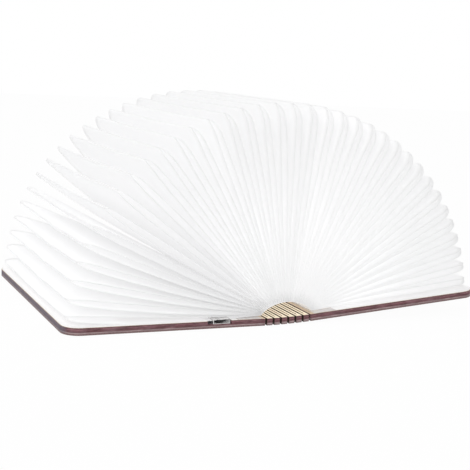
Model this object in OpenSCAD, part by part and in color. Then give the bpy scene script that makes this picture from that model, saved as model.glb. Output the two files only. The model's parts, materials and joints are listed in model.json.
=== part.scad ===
// Folding book lamp: two laminated wooden covers, a sawn seven-kerf hinge between them
// and an accordion of paper folds. Modelled open, left cover flat on the table.
// Millimetres. X to the right cover, Y along the spine away from the viewer, Z up.

/* [Covers] */

// Height of the book along its spine
height = 120; // [90:1:180]

// Width of one cover, from the centre of its outermost kerf to the fore edge
cover_w = 85.5; // [75:0.5:130]

// Thickness of the laminated board
board = 3; // [2.8:0.1:4]

// Thickness of the outer layer of the laminate
skin = 0.7; // [0.4:0.1:0.9]

// Radius of the corners at the fore edge
corner_r = 7; // [2:0.5:12]

// Wood left between the pockets and the inner face
roof = 0.4; // [0.3:0.05:0.6]

/* [Sawn hinge] */

// Distance between neighbouring kerfs
pitch = 3.4; // [3:0.1:4.5]

// Width of a kerf
kerf = 0.9; // [0.8:0.05:1.2]

// Radius of the wooden links that join the slats inside the kerfs
link_r = 0.7; // [0.6:0.05:0.8]

// Length of one link along the spine
link_l = 8; // [4:1:10]

// Distance between links in one kerf
link_step = 20; // [16:1:24]

// Solid wood between the head or tail and the first link
link_margin = 5; // [3:0.5:10]

// Gap round a link in its seat
link_gap = 0.03; // [0.02:0.01:0.08]

// Gap past each end of a link in its seat
link_end_gap = 0.2; // [0.1:0.05:0.5]

// Thickness of the web that holds a link to its slat
link_web = 0.7; // [0.5:0.1:0.9]

// Width of the slit down the middle of a slat
slit = 0.5; // [0.3:0.1:0.6]

// Solid wood left at each end of a slat before the first slit
slit_margin = 7; // [5:1:12]

// Solid bridge left between two slits of one slat
slit_bridge = 4; // [3:1:8]

// How far the right cover stands off the table in the open pose, in degrees
lift = 4.9; // [2:0.1:12]

/* [Paper] */

// Thickness of one paper leaf
leaf = 0.1; // [0.07:0.005:0.115]

// Gap between one fold and the next when shut
fold_play = 0.024; // [0.02:0.002:0.03]

// Distance from the middle kerf to the inner edges of the folds, when shut
fold_start = 7.8; // [7:0.1:9]

// How far the folds stay back from the fore edge
fore_margin = 1.25; // [0.5:0.25:4]

// How far the folds stay back from the head and the tail of the covers
tail_margin = 1.5; // [0.5:0.25:4]

// Radius of the outer corners of the folds
fold_r = 9; // [4:0.5:14]

// Thickness of the end leaf glued on each cover
end_leaf = 0.15; // [0.1:0.01:0.2]

// Gap between the paper block and what lies beside it, when shut
block_gap = 0.08; // [0.05:0.01:0.12]

// How far the end leaves stay clear of the light strip and the notch
leaf_gap = 1; // [0.5:0.25:3]

/* [Light strips] */

// Distance from the outermost kerf to the near edge of a light strip
strip_from = 4; // [3:0.5:5]

// Width of a light strip
strip_w = 8; // [6:0.5:8]

// How far a light strip stays back from the head and the tail
strip_margin = 5; // [3:0.5:10]

// Thickness of a light strip
strip_t = 0.3; // [0.2:0.05:0.4]

// Distance between neighbouring LEDs
led_step = 9; // [6:0.5:16]

// Distance from the end of a strip to the nearest LED's centre
led_margin = 5.5; // [3:0.5:8]

// Length of an LED along the strip
led_l = 3.5; // [2.5:0.1:4]

// Width of an LED across the strip
led_w = 2.8; // [2:0.1:3.5]

// Height of an LED above its strip
led_h = 0.7; // [0.5:0.05:0.8]

/* [Power] */

// Distance between the cell and the fore edge
cell_edge = 6.5; // [5:0.5:20]

// Distance between the cell and the nearest magnet
cell_magnet = 2; // [1:0.5:10]

// Distance between the cell and its leads' bend
cell_lead = 7.25; // [5:0.25:12]

// Distance between the circuit board and the cell
cell_board = 3.5; // [2:0.25:6]

// Clearance round the cell in its pocket
cell_gap = 0.1; // [0.05:0.05:0.3]

// Diameter of a cell lead over its insulation
lead_d = 0.8; // [0.5:0.1:1]

// Distance between the two leads
lead_step = 2; // [1.2:0.1:3]

// Width of the circuit board, across the cover
pcb_w = 16; // [14:0.5:20]

// Length of the circuit board, along the spine
pcb_l = 20; // [16:1:24]

// Thickness of the circuit board
pcb_t = 0.9; // [0.6:0.1:1.2]

// How far the circuit board reaches past the notch, towards the spine
pcb_past = 2.2; // [0.5:0.1:2.5]

// Thickness of the wooden wall in front of the circuit board
front_wall = 1.5; // [1:0.1:2]

// Clearance round the circuit board in its pocket
pcb_gap = 0.25; // [0.1:0.05:0.4]

/* [Charging socket] */

// Outer width of the socket shell
usb_w = 7.5; // [7:0.1:8]

// Outer height of the socket shell
usb_h = 2.1; // [1.8:0.05:2.4]

// Depth of the socket shell
usb_l = 5.2; // [4.5:0.1:6]

// Wall of the socket shell
usb_wall = 0.25; // [0.2:0.05:0.35]

// How far the shell stays back from the front edge of the cover
usb_back = 0.4; // [0.2:0.1:1]

// Room behind the shell in the notch
usb_room = 0.7; // [0.3:0.1:1.5]

// Gap between the light strip and the notch, across the cover
notch_past = 3.7; // [3:0.1:12]

// Gap between the shell and the spine side of the notch
notch_side = 0.55; // [0.2:0.05:1.5]

// Width of the notch in the front edge
notch_w = 10.6; // [9:0.1:14]

// Thickness of the socket's tongue
tongue_t = 0.5; // [0.4:0.05:0.6]

/* [Magnets] */

// Diameter of a magnet
magnet_d = 8; // [5:0.5:8]

// Thickness of a magnet
magnet_t = 1.6; // [1:0.1:1.7]

// Distance from a magnet's centre to the fore edge
magnet_edge = 8.5; // [7:0.5:10]

// Distance from a magnet's centre to the head or tail
magnet_end = 8; // [7:0.5:9]

// Clearance round a magnet in its pocket
magnet_gap = 0.1; // [0.05:0.05:0.2]

/* [Hidden] */

$fn = 64;

// Seven kerfs, so a half turn of the covers takes a seventh of it from each
kerfs = 7;

// Folds of the paper: five to a slat, the middle one square on it, and five more before
// the first slat's middle one and after the last's. Each fold is a node.
slat_folds = 5;
end_folds = 5;
folds = slat_folds * (kerfs - 2) + 2 * end_folds + 1;

// Share of one kerf's turn that the outermost folds take
end_share = 0.1;
rest_turn = lift / kerfs;
shut_turn = 180 / kerfs;

// Reach for cutters that pass right through
cut = 1;

// Heights in a board's own frame, zero at the middle of its thickness
inner_z = board / 2;
outer_z = -board / 2;
seam_z = outer_z + skin;
pocket_top = inner_z - roof;

// Kerf centres and board centres, as a chain that starts at the flat left cover
function kerf_x(i, turn) = i == 0 ? -pitch * (kerfs - 1) / 2
  : kerf_x(i - 1, turn) + pitch * cos(i * turn);
function kerf_z(i, turn) = i == 0 ? 0 : kerf_z(i - 1, turn) + pitch * sin(i * turn);
function body_x(j, turn) = j == 0 ? -pitch * kerfs / 2
  : kerf_x(j - 1, turn) + pitch / 2 * cos(j * turn);
function body_z(j, turn) = j == 0 ? 0 : kerf_z(j - 1, turn) + pitch / 2 * sin(j * turn);
function turned(v, a) = [v[0] * cos(a) - v[1] * sin(a), v[0] * sin(a) + v[1] * cos(a)];

// The part is centred between its fore edges
left_reach = kerf_x(0, rest_turn) - cover_w;
right_reach = kerf_x(kerfs - 1, rest_turn) + cover_w * cos(lift) + board / 2 * sin(lift);
shift_x = -(left_reach + right_reach) / 2;

// Circuit board, cell, leads and socket, measured from the outermost kerf
strip_l = height - 2 * strip_margin;
led_count = floor((strip_l - 2 * led_margin) / led_step + 0.001) + 1;
notch_from = strip_from + strip_w + notch_past;
usb_from = notch_from + notch_side + usb_w / 2;
pcb_from = notch_from - pcb_past;
pcb_y = -height / 2 + front_wall + pcb_gap + pcb_l / 2;
pcb_z = seam_z + 0.05;
usb_z = pcb_z + pcb_t;
cell_from = pcb_from + pcb_w + cell_board;
cell_to = cover_w - cell_edge;
lead_y = pcb_y + pcb_l / 2 - lead_step - 1;
cell_y0 = lead_y + cell_lead;
cell_y1 = height / 2 - magnet_end - magnet_d / 2 - cell_magnet;
cell_z0 = seam_z + cell_gap;
cell_z1 = pocket_top - cell_gap;
lead_x = cell_from + 4;
lead_z = seam_z + lead_d / 2 + 0.2;
end_from = strip_from + strip_w + leaf_gap;
notch_end = -height / 2 + usb_back + usb_l + usb_room;

// The shut block: spacing of the folds beside the light strips and at the fore edge
mid_i = (kerfs - 1) / 2;
shut_mid = [kerf_x(mid_i, shut_turn), kerf_z(mid_i, shut_turn)];
shut_rise = abs(shut_mid[0] - kerf_x(0, shut_turn));
shut_gap = 2 * shut_mid[1] - board;
strip_top = strip_t + led_h;
socket_top = usb_z + usb_h - inner_z + 0.2;
strip_end = shut_rise + strip_from + strip_w;
fold_end = shut_rise + cover_w - fore_margin;
fold_l = fold_end - fold_start;
step_in = (shut_gap - 2 * (max(strip_top, socket_top) + block_gap)) / folds;
step_out = (shut_gap - 2 * (end_leaf + block_gap)) / folds;
fan = (step_out - step_in) / (fold_end - strip_end);
step_start = step_in + fan * (fold_start - strip_end);
fold_in = step_start - fold_play;
fold_out = step_out - fold_play;
fold_hollow = max(fold_in / 2 - leaf, leaf / 20);
page_h = height - 2 * tail_margin;

// Fold m: its share of the half turn, the board that carries it and its own small share
function slat_count(m) = (m - 1 - end_folds) / slat_folds;
function past_end(m) = (1 - end_share) / end_folds
  * (m <= end_folds ? end_folds + 1 - m : m - folds + end_folds);
function share(m) = m <= end_folds ? 1 - past_end(m)
  : m > folds - end_folds ? kerfs - 1 + past_end(m)
  : 1 + slat_count(m);
function carrier(m) = floor(share(m) + 0.5);
function own(m) = share(m) - carrier(m);
function fold_shut(m) = shut_mid + [-fold_start, (m - (folds + 1) / 2) * step_start];
function fold_aim(m) = 180 - atan((m - (folds + 1) / 2) * fan);
function pivot(m, turn) = [body_x(carrier(m), turn), body_z(carrier(m), turn)]
  + turned([own(m) * pitch / 2, 0], carrier(m) * turn);
function fold_turn(m) = share(m) * (rest_turn - shut_turn);
function fold_rest(m) = pivot(m, rest_turn)
  + turned(fold_shut(m) - pivot(m, shut_turn), fold_turn(m));

// Places its children, drawn in the frame of board j, in the open pose
module on_board(j) {
  translate([shift_x + body_x(j, rest_turn), 0, board / 2 + body_z(j, rest_turn)])
    rotate([0, -j * rest_turn, 0])
      children();
}

// Children measured from the outermost kerf towards the fore edge
module on_left() {
  on_board(0)
    translate([pitch / 2, 0, 0])
      mirror([1, 0, 0])
        children();
}

module on_right() {
  on_board(kerfs)
    translate([-pitch / 2, 0, 0])
      children();
}

module slab(x0, x1, y0, y1, z0, z1) {
  translate([x0, y0, z0])
    cube([x1 - x0, y1 - y0, z1 - z0]);
}

// A sheet with rounded corners on its far side
module tongue_outline(x0, x1, length, r) {
  translate([x0, -length / 2])
    square([x1 - r - x0, length]);
  translate([x0, -length / 2 + r])
    square([x1 - x0, length - 2 * r]);
  for (side = [-1, 1])
    translate([x1 - r, side * (length / 2 - r)])
      circle(r = r);
}

module layer(z0, z1) {
  translate([0, 0, z0])
    linear_extrude(height = z1 - z0)
      tongue_outline(kerf / 2, cover_w, height, corner_r);
}

// Places of the links in kerf i: even and odd kerfs have theirs staggered
module link_places(i) {
  reach = height / 2 - link_margin - link_l / 2;
  shift = i % 2 == 0 ? link_step / 2 : 0;
  n = ceil(reach / link_step);
  for (k = [-n : n])
    if (abs(k * link_step + shift) <= reach)
      translate([0, k * link_step + shift, 0])
        children();
}

module links(i) {
  link_places(i) {
    rotate([90, 0, 0])
      cylinder(r = link_r, h = link_l, center = true);
    slab(-kerf / 2 - cut / 5, 0, -link_l / 2, link_l / 2, -link_web / 2, link_web / 2);
  }
}

module link_seats(i) {
  link_places(i)
    rotate([90, 0, 0])
      cylinder(r = link_r + link_gap, h = link_l + 2 * link_end_gap, center = true);
}

module magnet_places() {
  for (side = [-1, 1])
    translate([cover_w - magnet_edge, side * (height / 2 - magnet_end), 0])
      children();
}

module magnet_pockets() {
  magnet_places()
    translate([0, 0, seam_z - cut])
      cylinder(r = magnet_d / 2 + magnet_gap, h = pocket_top - seam_z + cut);
}

module magnets() {
  magnet_places()
    translate([0, 0, seam_z + magnet_gap])
      cylinder(r = magnet_d / 2, h = magnet_t);
}

// A pocket in a board's outer side, closed by the outer layer
module pocket(x0, x1, y0, y1) {
  slab(x0, x1, y0, y1, seam_z - cut, pocket_top);
}

module left_cover() {
  color([0.42, 0.28, 0.25])
    on_left() {
      difference() {
        layer(seam_z, inner_z);
        magnet_pockets();
        pocket(cell_from - cell_gap, cell_to + cell_gap, cell_y0 - cell_gap, cell_y1 + cell_gap);
        pocket(pcb_from - pcb_gap, pcb_from + pcb_w + pcb_gap, pcb_y - pcb_l / 2 - pcb_gap,
          pcb_y + pcb_l / 2 + pcb_gap);
        pocket(pcb_from + pcb_w - cut, lead_x + lead_step + lead_d, lead_y - lead_d,
          lead_y + lead_step + lead_d);
        pocket(lead_x - lead_d, lead_x + lead_step + lead_d, lead_y - lead_d, cell_y0 + cut);
        slab(notch_from, notch_from + notch_w, -height / 2 - cut, notch_end, usb_z,
          inner_z + cut);
      }
      mirror([1, 0, 0])
        links(0);
    }
}

module left_skin() {
  color([0.36, 0.24, 0.2])
    on_left()
      layer(outer_z, seam_z);
}

module right_cover() {
  color([0.42, 0.28, 0.25])
    on_right()
      difference() {
        layer(seam_z, inner_z);
        magnet_pockets();
        link_seats(kerfs - 1);
      }
}

module right_skin() {
  color([0.36, 0.24, 0.2])
    on_right()
      difference() {
        layer(outer_z, seam_z);
        link_seats(kerfs - 1);
      }
}

// Slat j hangs on the links of kerf j - 1 and carries those of kerf j
module slat(j) {
  half = (pitch - kerf) / 2;
  slit_l = (height - 2 * slit_margin - 2 * slit_bridge) / 3;
  color([0.7, 0.56, 0.36])
    on_board(j) {
      difference() {
        slab(-half, half, -height / 2, height / 2, outer_z, inner_z);
        translate([-pitch / 2, 0, 0])
          link_seats(j - 1);
        for (k = [-1, 0, 1])
          slab(-slit / 2, slit / 2, k * (slit_l + slit_bridge) - slit_l / 2,
            k * (slit_l + slit_bridge) + slit_l / 2, outer_z - cut, inner_z + cut);
      }
      translate([pitch / 2, 0, 0])
        links(j);
    }
}

module spine_slat_1() {
  slat(1);
}

module spine_slat_2() {
  slat(2);
}

module spine_slat_3() {
  slat(3);
}

module spine_slat_4() {
  slat(4);
}

module spine_slat_5() {
  slat(5);
}

module spine_slat_6() {
  slat(6);
}

module end_sheet() {
  translate([0, 0, inner_z])
    linear_extrude(height = end_leaf)
      tongue_outline(end_from, cover_w - fore_margin, page_h, corner_r);
}

module left_end_leaf() {
  color([0.95, 0.95, 0.93])
    on_left()
      difference() {
        end_sheet();
        slab(end_from - cut, notch_from + notch_w + leaf_gap, -height, notch_end + leaf_gap / 2,
          inner_z - cut, inner_z + cut);
      }
}

module right_end_leaf() {
  color([0.95, 0.95, 0.93])
    on_right()
      end_sheet();
}

module battery() {
  sealed = 2;
  tab_z = (cell_z0 + cell_z1) / 2;
  color([0.75, 0.76, 0.78])
    on_left() {
      slab(cell_from, cell_to, cell_y0 + sealed, cell_y1, cell_z0, cell_z1);
      slab(cell_from + 1, cell_to - 1, cell_y0, cell_y0 + sealed + 0.1, cell_z0 + 0.3, tab_z);
    }
}

// A lead from the side of the circuit board to the near end of the cell
module lead(x, y) {
  r = lead_d / 2;
  translate([x, y, lead_z]) {
    sphere(r = r);
    rotate([-90, 0, 0])
      cylinder(r = r, h = cell_y0 - y);
    rotate([0, -90, 0])
      cylinder(r = r, h = x - pcb_from - pcb_w);
  }
}

module battery_leads() {
  color([0.7, 0.1, 0.1])
    on_left() {
      lead(lead_x, lead_y + lead_step);
      lead(lead_x + lead_step, lead_y);
    }
}

module circuit_board() {
  color([0.1, 0.35, 0.2])
    on_left()
      slab(pcb_from, pcb_from + pcb_w, pcb_y - pcb_l / 2, pcb_y + pcb_l / 2,
        pcb_z, pcb_z + pcb_t);
}

// Charger, driver, inductor and the magnetic switch, placed from the board's back edge
module board_parts() {
  tall = pocket_top - usb_z - 0.1;
  color([0.12, 0.12, 0.13])
    on_left()
      translate([pcb_from, pcb_y + pcb_l / 2, usb_z]) {
        slab(2, 5, -10.5, -7.5, 0, tall - 0.05);
        slab(6.4, 10.4, -10, -6, 0, tall);
        slab(11.3, 13.5, -11, -9.5, 0, tall - 0.15);
        slab(1.5, 7.5, -3.5, -1.5, 0, tall - 0.05);
        slab(11.5, 13.1, -6.8, -5.6, 0, tall - 0.35);
        slab(9, 10.6, -4, -3, 0, tall - 0.35);
      }
}

module usb_shell() {
  color([0.8, 0.8, 0.82])
    on_left()
      difference() {
        slab(usb_from - usb_w / 2, usb_from + usb_w / 2, -height / 2 + usb_back,
          -height / 2 + usb_back + usb_l, usb_z, usb_z + usb_h);
        slab(usb_from - usb_w / 2 + usb_wall, usb_from + usb_w / 2 - usb_wall,
          -height / 2 - cut, -height / 2 + usb_back + usb_l - usb_wall,
          usb_z + usb_wall, usb_z + usb_h - usb_wall);
      }
}

module usb_tongue() {
  mid = usb_z + usb_h / 2 + tongue_t / 3;
  back = -height / 2 + usb_back + usb_l - usb_wall;
  color([0.08, 0.08, 0.09])
    on_left() {
      slab(usb_from - usb_w / 4, usb_from + usb_w / 4, -height / 2 + usb_back + 0.8, back,
        mid - tongue_t / 2, mid + tongue_t / 2);
      slab(usb_from - usb_w / 2 + usb_wall, usb_from + usb_w / 2 - usb_wall, back - 1, back,
        usb_z + usb_wall, usb_z + usb_h - usb_wall);
    }
}

module strip() {
  slab(strip_from, strip_from + strip_w, -strip_l / 2, strip_l / 2, inner_z, inner_z + strip_t);
}

module strip_leds() {
  mid = strip_from + strip_w / 2;
  for (k = [0 : led_count - 1])
    translate([mid, (k - (led_count - 1) / 2) * led_step, inner_z + strip_t])
      slab(-led_w / 2, led_w / 2, -led_l / 2, led_l / 2, 0, led_h);
}

module led_strip_left() {
  color([0.93, 0.9, 0.88])
    on_left()
      strip();
}

module led_strip_right() {
  color([0.93, 0.9, 0.88])
    on_right()
      strip();
}

module leds_left() {
  color([0.97, 0.9, 0.6])
    on_left()
      strip_leds();
}

module leds_right() {
  color([0.97, 0.9, 0.6])
    on_right()
      strip_leds();
}

module magnets_left() {
  color([0.72, 0.72, 0.74])
    on_left()
      magnets();
}

module magnets_right() {
  color([0.72, 0.72, 0.74])
    on_right()
      magnets();
}

// One fold: two leaves that meet in a rounded crease at the outer edge
module fold_section() {
  r = fold_out / 2;
  difference() {
    union() {
      polygon([[0, -fold_in / 2], [fold_l - r, -r], [fold_l - r, r], [0, fold_in / 2]]);
      translate([fold_l - r, 0])
        circle(r = r);
    }
    polygon([[-cut, -fold_hollow], [fold_l - 3 * leaf, leaf - r],
      [fold_l - 3 * leaf, r - leaf], [-cut, fold_hollow]]);
  }
}

module page(m) {
  at = fold_rest(m);
  color([0.96, 0.96, 0.95])
    translate([shift_x + at[0], 0, board / 2 + at[1]])
      rotate([0, -(fold_aim(m) + fold_turn(m)), 0])
        intersection() {
          rotate([90, 0, 0])
            linear_extrude(height = page_h, center = true)
              fold_section();
          translate([0, 0, -fold_out])
            linear_extrude(height = 2 * fold_out)
              tongue_outline(0, fold_l, page_h, fold_r);
        }
}

module page_01() {
  page(1);
}

module page_02() {
  page(2);
}

module page_03() {
  page(3);
}

module page_04() {
  page(4);
}

module page_05() {
  page(5);
}

module page_06() {
  page(6);
}

module page_07() {
  page(7);
}

module page_08() {
  page(8);
}

module page_09() {
  page(9);
}

module page_10() {
  page(10);
}

module page_11() {
  page(11);
}

module page_12() {
  page(12);
}

module page_13() {
  page(13);
}

module page_14() {
  page(14);
}

module page_15() {
  page(15);
}

module page_16() {
  page(16);
}

module page_17() {
  page(17);
}

module page_18() {
  page(18);
}

module page_19() {
  page(19);
}

module page_20() {
  page(20);
}

module page_21() {
  page(21);
}

module page_22() {
  page(22);
}

module page_23() {
  page(23);
}

module page_24() {
  page(24);
}

module page_25() {
  page(25);
}

module page_26() {
  page(26);
}

module page_27() {
  page(27);
}

module page_28() {
  page(28);
}

module page_29() {
  page(29);
}

module page_30() {
  page(30);
}

module page_31() {
  page(31);
}

module page_32() {
  page(32);
}

module page_33() {
  page(33);
}

module page_34() {
  page(34);
}

module page_35() {
  page(35);
}

module page_36() {
  page(36);
}

left_cover();
left_skin();
right_cover();
right_skin();
spine_slat_1();
spine_slat_2();
spine_slat_3();
spine_slat_4();
spine_slat_5();
spine_slat_6();
left_end_leaf();
right_end_leaf();
battery();
battery_leads();
circuit_board();
board_parts();
usb_shell();
usb_tongue();
led_strip_left();
led_strip_right();
leds_left();
leds_right();
magnets_left();
magnets_right();
page_01();
page_02();
page_03();
page_04();
page_05();
page_06();
page_07();
page_08();
page_09();
page_10();
page_11();
page_12();
page_13();
page_14();
page_15();
page_16();
page_17();
page_18();
page_19();
page_20();
page_21();
page_22();
page_23();
page_24();
page_25();
page_26();
page_27();
page_28();
page_29();
page_30();
page_31();
page_32();
page_33();
page_34();
page_35();
page_36();
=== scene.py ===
import json
import math
import bmesh
import bpy
import numpy as np
from mathutils import Matrix, Vector


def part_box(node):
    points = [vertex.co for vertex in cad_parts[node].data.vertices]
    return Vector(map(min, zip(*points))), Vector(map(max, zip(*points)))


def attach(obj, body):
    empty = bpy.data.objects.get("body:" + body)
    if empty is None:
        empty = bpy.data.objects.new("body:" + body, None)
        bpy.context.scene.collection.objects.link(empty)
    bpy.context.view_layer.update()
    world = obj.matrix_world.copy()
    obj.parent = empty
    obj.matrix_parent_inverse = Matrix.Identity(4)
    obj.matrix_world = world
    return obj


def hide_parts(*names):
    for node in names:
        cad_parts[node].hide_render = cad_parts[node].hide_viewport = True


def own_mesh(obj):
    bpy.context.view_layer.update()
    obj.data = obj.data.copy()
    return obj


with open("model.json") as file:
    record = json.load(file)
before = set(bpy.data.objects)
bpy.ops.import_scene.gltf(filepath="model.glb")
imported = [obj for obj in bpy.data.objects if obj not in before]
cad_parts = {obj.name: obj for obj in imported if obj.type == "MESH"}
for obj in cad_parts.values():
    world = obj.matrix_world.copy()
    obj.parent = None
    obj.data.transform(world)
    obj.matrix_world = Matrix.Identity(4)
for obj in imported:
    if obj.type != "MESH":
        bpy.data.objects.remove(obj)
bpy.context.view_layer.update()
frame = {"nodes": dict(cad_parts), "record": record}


# ---- The table, the soft light and the eye
# The lamp lies open on a white table in an even white light, seen from a little above,
# left of square on, from less than half a metre away.

PICTURE = 470
SENSOR = 36


def place_node(tree, kind, sockets=None, **settings):
    """A node of that kind, with its settings, and its sockets filled or linked."""
    made = tree.nodes.new(kind)
    for key, value in settings.items():
        setattr(made, key, value)
    for key, value in (sockets or {}).items():
        if isinstance(value, bpy.types.NodeSocket):
            tree.links.new(value, made.inputs[key])
        else:
            made.inputs[key].default_value = value
    return made


def reckon(tree, how, *values):
    """One step of arithmetic on values or sockets."""
    return place_node(tree, "ShaderNodeMath", dict(enumerate(values)), operation=how).outputs[0]


def look_from(azimuth, elevation, roll, reach, aim, spot, focal):
    """Camera that sees the point aim at the pixel spot of a square picture."""
    az, el, turn = (math.radians(a) for a in (azimuth, elevation, roll))
    back = Vector((math.sin(az) * math.cos(el), -math.cos(az) * math.cos(el), math.sin(el)))
    right = (-back).cross(Vector((0, 0, 1))).normalized()
    up = right.cross(-back)
    right, up = right * math.cos(turn) + up * math.sin(turn), up * math.cos(turn) - right * math.sin(turn)
    side = (spot[0] - PICTURE / 2) / focal * reach
    rise = -(spot[1] - PICTURE / 2) / focal * reach
    eye = Vector(aim) - right * side - up * rise + back * reach
    data = bpy.data.cameras.new("eye")
    data.sensor_fit = "HORIZONTAL"
    data.sensor_width = SENSOR
    data.lens = focal * SENSOR / PICTURE
    data.clip_start = 0.01
    camera = bpy.data.objects.new("eye", data)
    camera.matrix_world = Matrix(((right.x, up.x, back.x, eye.x), (right.y, up.y, back.y, eye.y),
                                  (right.z, up.z, back.z, eye.z), (0, 0, 0, 1)))
    bpy.context.scene.collection.objects.link(camera)
    bpy.context.scene.camera = camera


look_from(azimuth=-24.595, elevation=9.394, roll=3.291, reach=0.447576, aim=(0.0001037, -0.06, 0),
          spot=(287.944, 324.368), focal=1069.966)
bpy.context.scene.view_settings.view_transform = "Standard"


def white_to_the_eye(tree, plain, share):
    """Mixes a shader with plain white light for what the camera sees directly or in a gloss."""
    rays = place_node(tree, "ShaderNodeLightPath").outputs
    seen = reckon(tree, "MAXIMUM", rays["Is Camera Ray"], rays["Is Glossy Ray"])
    seen = reckon(tree, "MAXIMUM", seen, rays["Is Transmission Ray"])
    part = reckon(tree, "MULTIPLY", seen, share)
    white = place_node(tree, "ShaderNodeEmission", {"Color": (1, 1, 1, 1), "Strength": 1.0}).outputs[0]
    return place_node(tree, "ShaderNodeMixShader", {0: part, 1: plain, 2: white}).outputs[0]


room = bpy.data.worlds.new("white_room")
room.use_nodes = True
room.node_tree.nodes.clear()
bpy.context.scene.world = room
dome = place_node(room.node_tree, "ShaderNodeBackground", {"Color": (1.0, 1.0, 1.0, 1), "Strength": 0.68})
place_node(room.node_tree, "ShaderNodeOutputWorld",
           {"Surface": white_to_the_eye(room.node_tree, dome.outputs[0], 1.0)})


def soft_lamp(name, place, aim, width, power):
    data = bpy.data.lights.new(name, "AREA")
    data.shape = "DISK"
    data.size = width
    data.energy = power
    lamp = bpy.data.objects.new(name, data)
    way = (Vector(aim) - Vector(place)).normalized()
    lamp.matrix_world = Matrix.Translation(place) @ way.to_track_quat("-Z", "Y").to_matrix().to_4x4()
    bpy.context.scene.collection.objects.link(lamp)


soft_lamp("over_the_left_shoulder", place=(-0.6, -0.8, 0.55), aim=(0, 0, 0.03), width=0.5, power=2.2)
soft_lamp("from_above_behind", place=(-0.5, 0.3, 0.9), aim=(0, 0, 0.03), width=0.6, power=1.0)

# The table lies a hair lower than the lamp, so the two never share a face
TABLE_Z = -5e-5
table = bpy.data.meshes.new("table")
table_corners = [(x, y, TABLE_Z) for x, y in ((-2, -2), (2, -2), (2, 2), (-2, 2))]
table.from_pydata(table_corners, [], [(0, 1, 2, 3)])
table_top = bpy.data.objects.new("table_top", table)
bpy.context.scene.collection.objects.link(table_top)
laminate = bpy.data.materials.new("white_laminate")
laminate.use_nodes = True
laminate.node_tree.nodes.clear()
matt = place_node(laminate.node_tree, "ShaderNodeBsdfDiffuse", {"Color": (0.93, 0.93, 0.93, 1)})
place_node(laminate.node_tree, "ShaderNodeOutputMaterial",
           {"Surface": white_to_the_eye(laminate.node_tree, matt.outputs[0], 0.97)})
table.materials.append(laminate)


# ---- The boards of the two covers
# Each cover is a 3 mm board, cut out by laser with rounded fore corners: a core of dark
# stained plies whose edges the beam has browned, bare light wood inside, and a thin face
# veneer glued on outside. The left one is pocketed from behind for the cell and circuit.

BOARD = 0.003
SKIN = 0.0007
PITCH = 0.0034
# A cover reaches this far to the front and to the back, and is this wide from its last kerf
HALF_HEIGHT = 0.06
COVER_WIDTH = 0.0855
# The bridges between the slats' blind slits stand twice this far apart
BRIDGES = 0.03
# The painted lamp light on a cover's bare wood reaches as far out as this
PAINTED_LIGHT_TO = 0.0132
BARE_WOOD = (0.72, 0.62, 0.48)
STAIN = (0.17, 0.075, 0.06)
BLACK = (0.0, 0.0, 0.0)


def new_group(name, wants, gives):
    """A shader group, what goes into it and what comes out of it."""
    group = bpy.data.node_groups.new(name, "ShaderNodeTree")
    for label, kind, value in wants:
        made = group.interface.new_socket(name=label, in_out="INPUT", socket_type=kind)
        if value is not None:
            made.default_value = value
    for label, kind in gives:
        group.interface.new_socket(name=label, in_out="OUTPUT", socket_type=kind)
    return group, group.nodes.new("NodeGroupInput").outputs, group.nodes.new("NodeGroupOutput").inputs


def mixed(tree, share, low, high, how="MIX"):
    """Colour between two colours or sockets."""
    made = place_node(tree, "ShaderNodeMix", {0: share}, data_type="RGBA", blend_type=how)
    # A Mix node takes its colours by its sockets 6 and 7, and gives one by its socket 2
    for slot, value in ((6, low), (7, high)):
        if isinstance(value, bpy.types.NodeSocket):
            tree.links.new(value, made.inputs[slot])
        else:
            made.inputs[slot].default_value = (*value, 1)
    return made.outputs[2]


def ramp(tree, value, low, high, start=0.0, end=1.0):
    """Carries a value smoothly from low..high to start..end, and holds it there."""
    ends = {"Value": value, "From Min": low, "From Max": high, "To Min": start, "To Max": end}
    return place_node(tree, "ShaderNodeMapRange", ends, interpolation_type="SMOOTHSTEP").outputs[0]


def face_at(tree, depth, level):
    """1 on the face that lies at that level, 0 everywhere lower."""
    return ramp(tree, depth, level - 4e-5, level - 2e-5)


def speckle(tree, vector, scale, detail=4.0, rough=0.55, twist=0.0):
    grain = {"Vector": vector, "Scale": scale, "Detail": detail, "Roughness": rough, "Distortion": twist}
    return place_node(tree, "ShaderNodeTexNoise", grain).outputs[0]


def stretched(tree, vector, scale):
    return place_node(tree, "ShaderNodeMapping", {"Vector": vector, "Scale": scale}).outputs[0]


def own_place(tree):
    """Where a point lies on the object itself."""
    return place_node(tree, "ShaderNodeTexCoord").outputs["Object"]


def coordinate(tree, vector, way):
    """One coordinate of a place, X, Y or Z."""
    return place_node(tree, "ShaderNodeSeparateXYZ", {"Vector": vector}).outputs[way]


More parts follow.
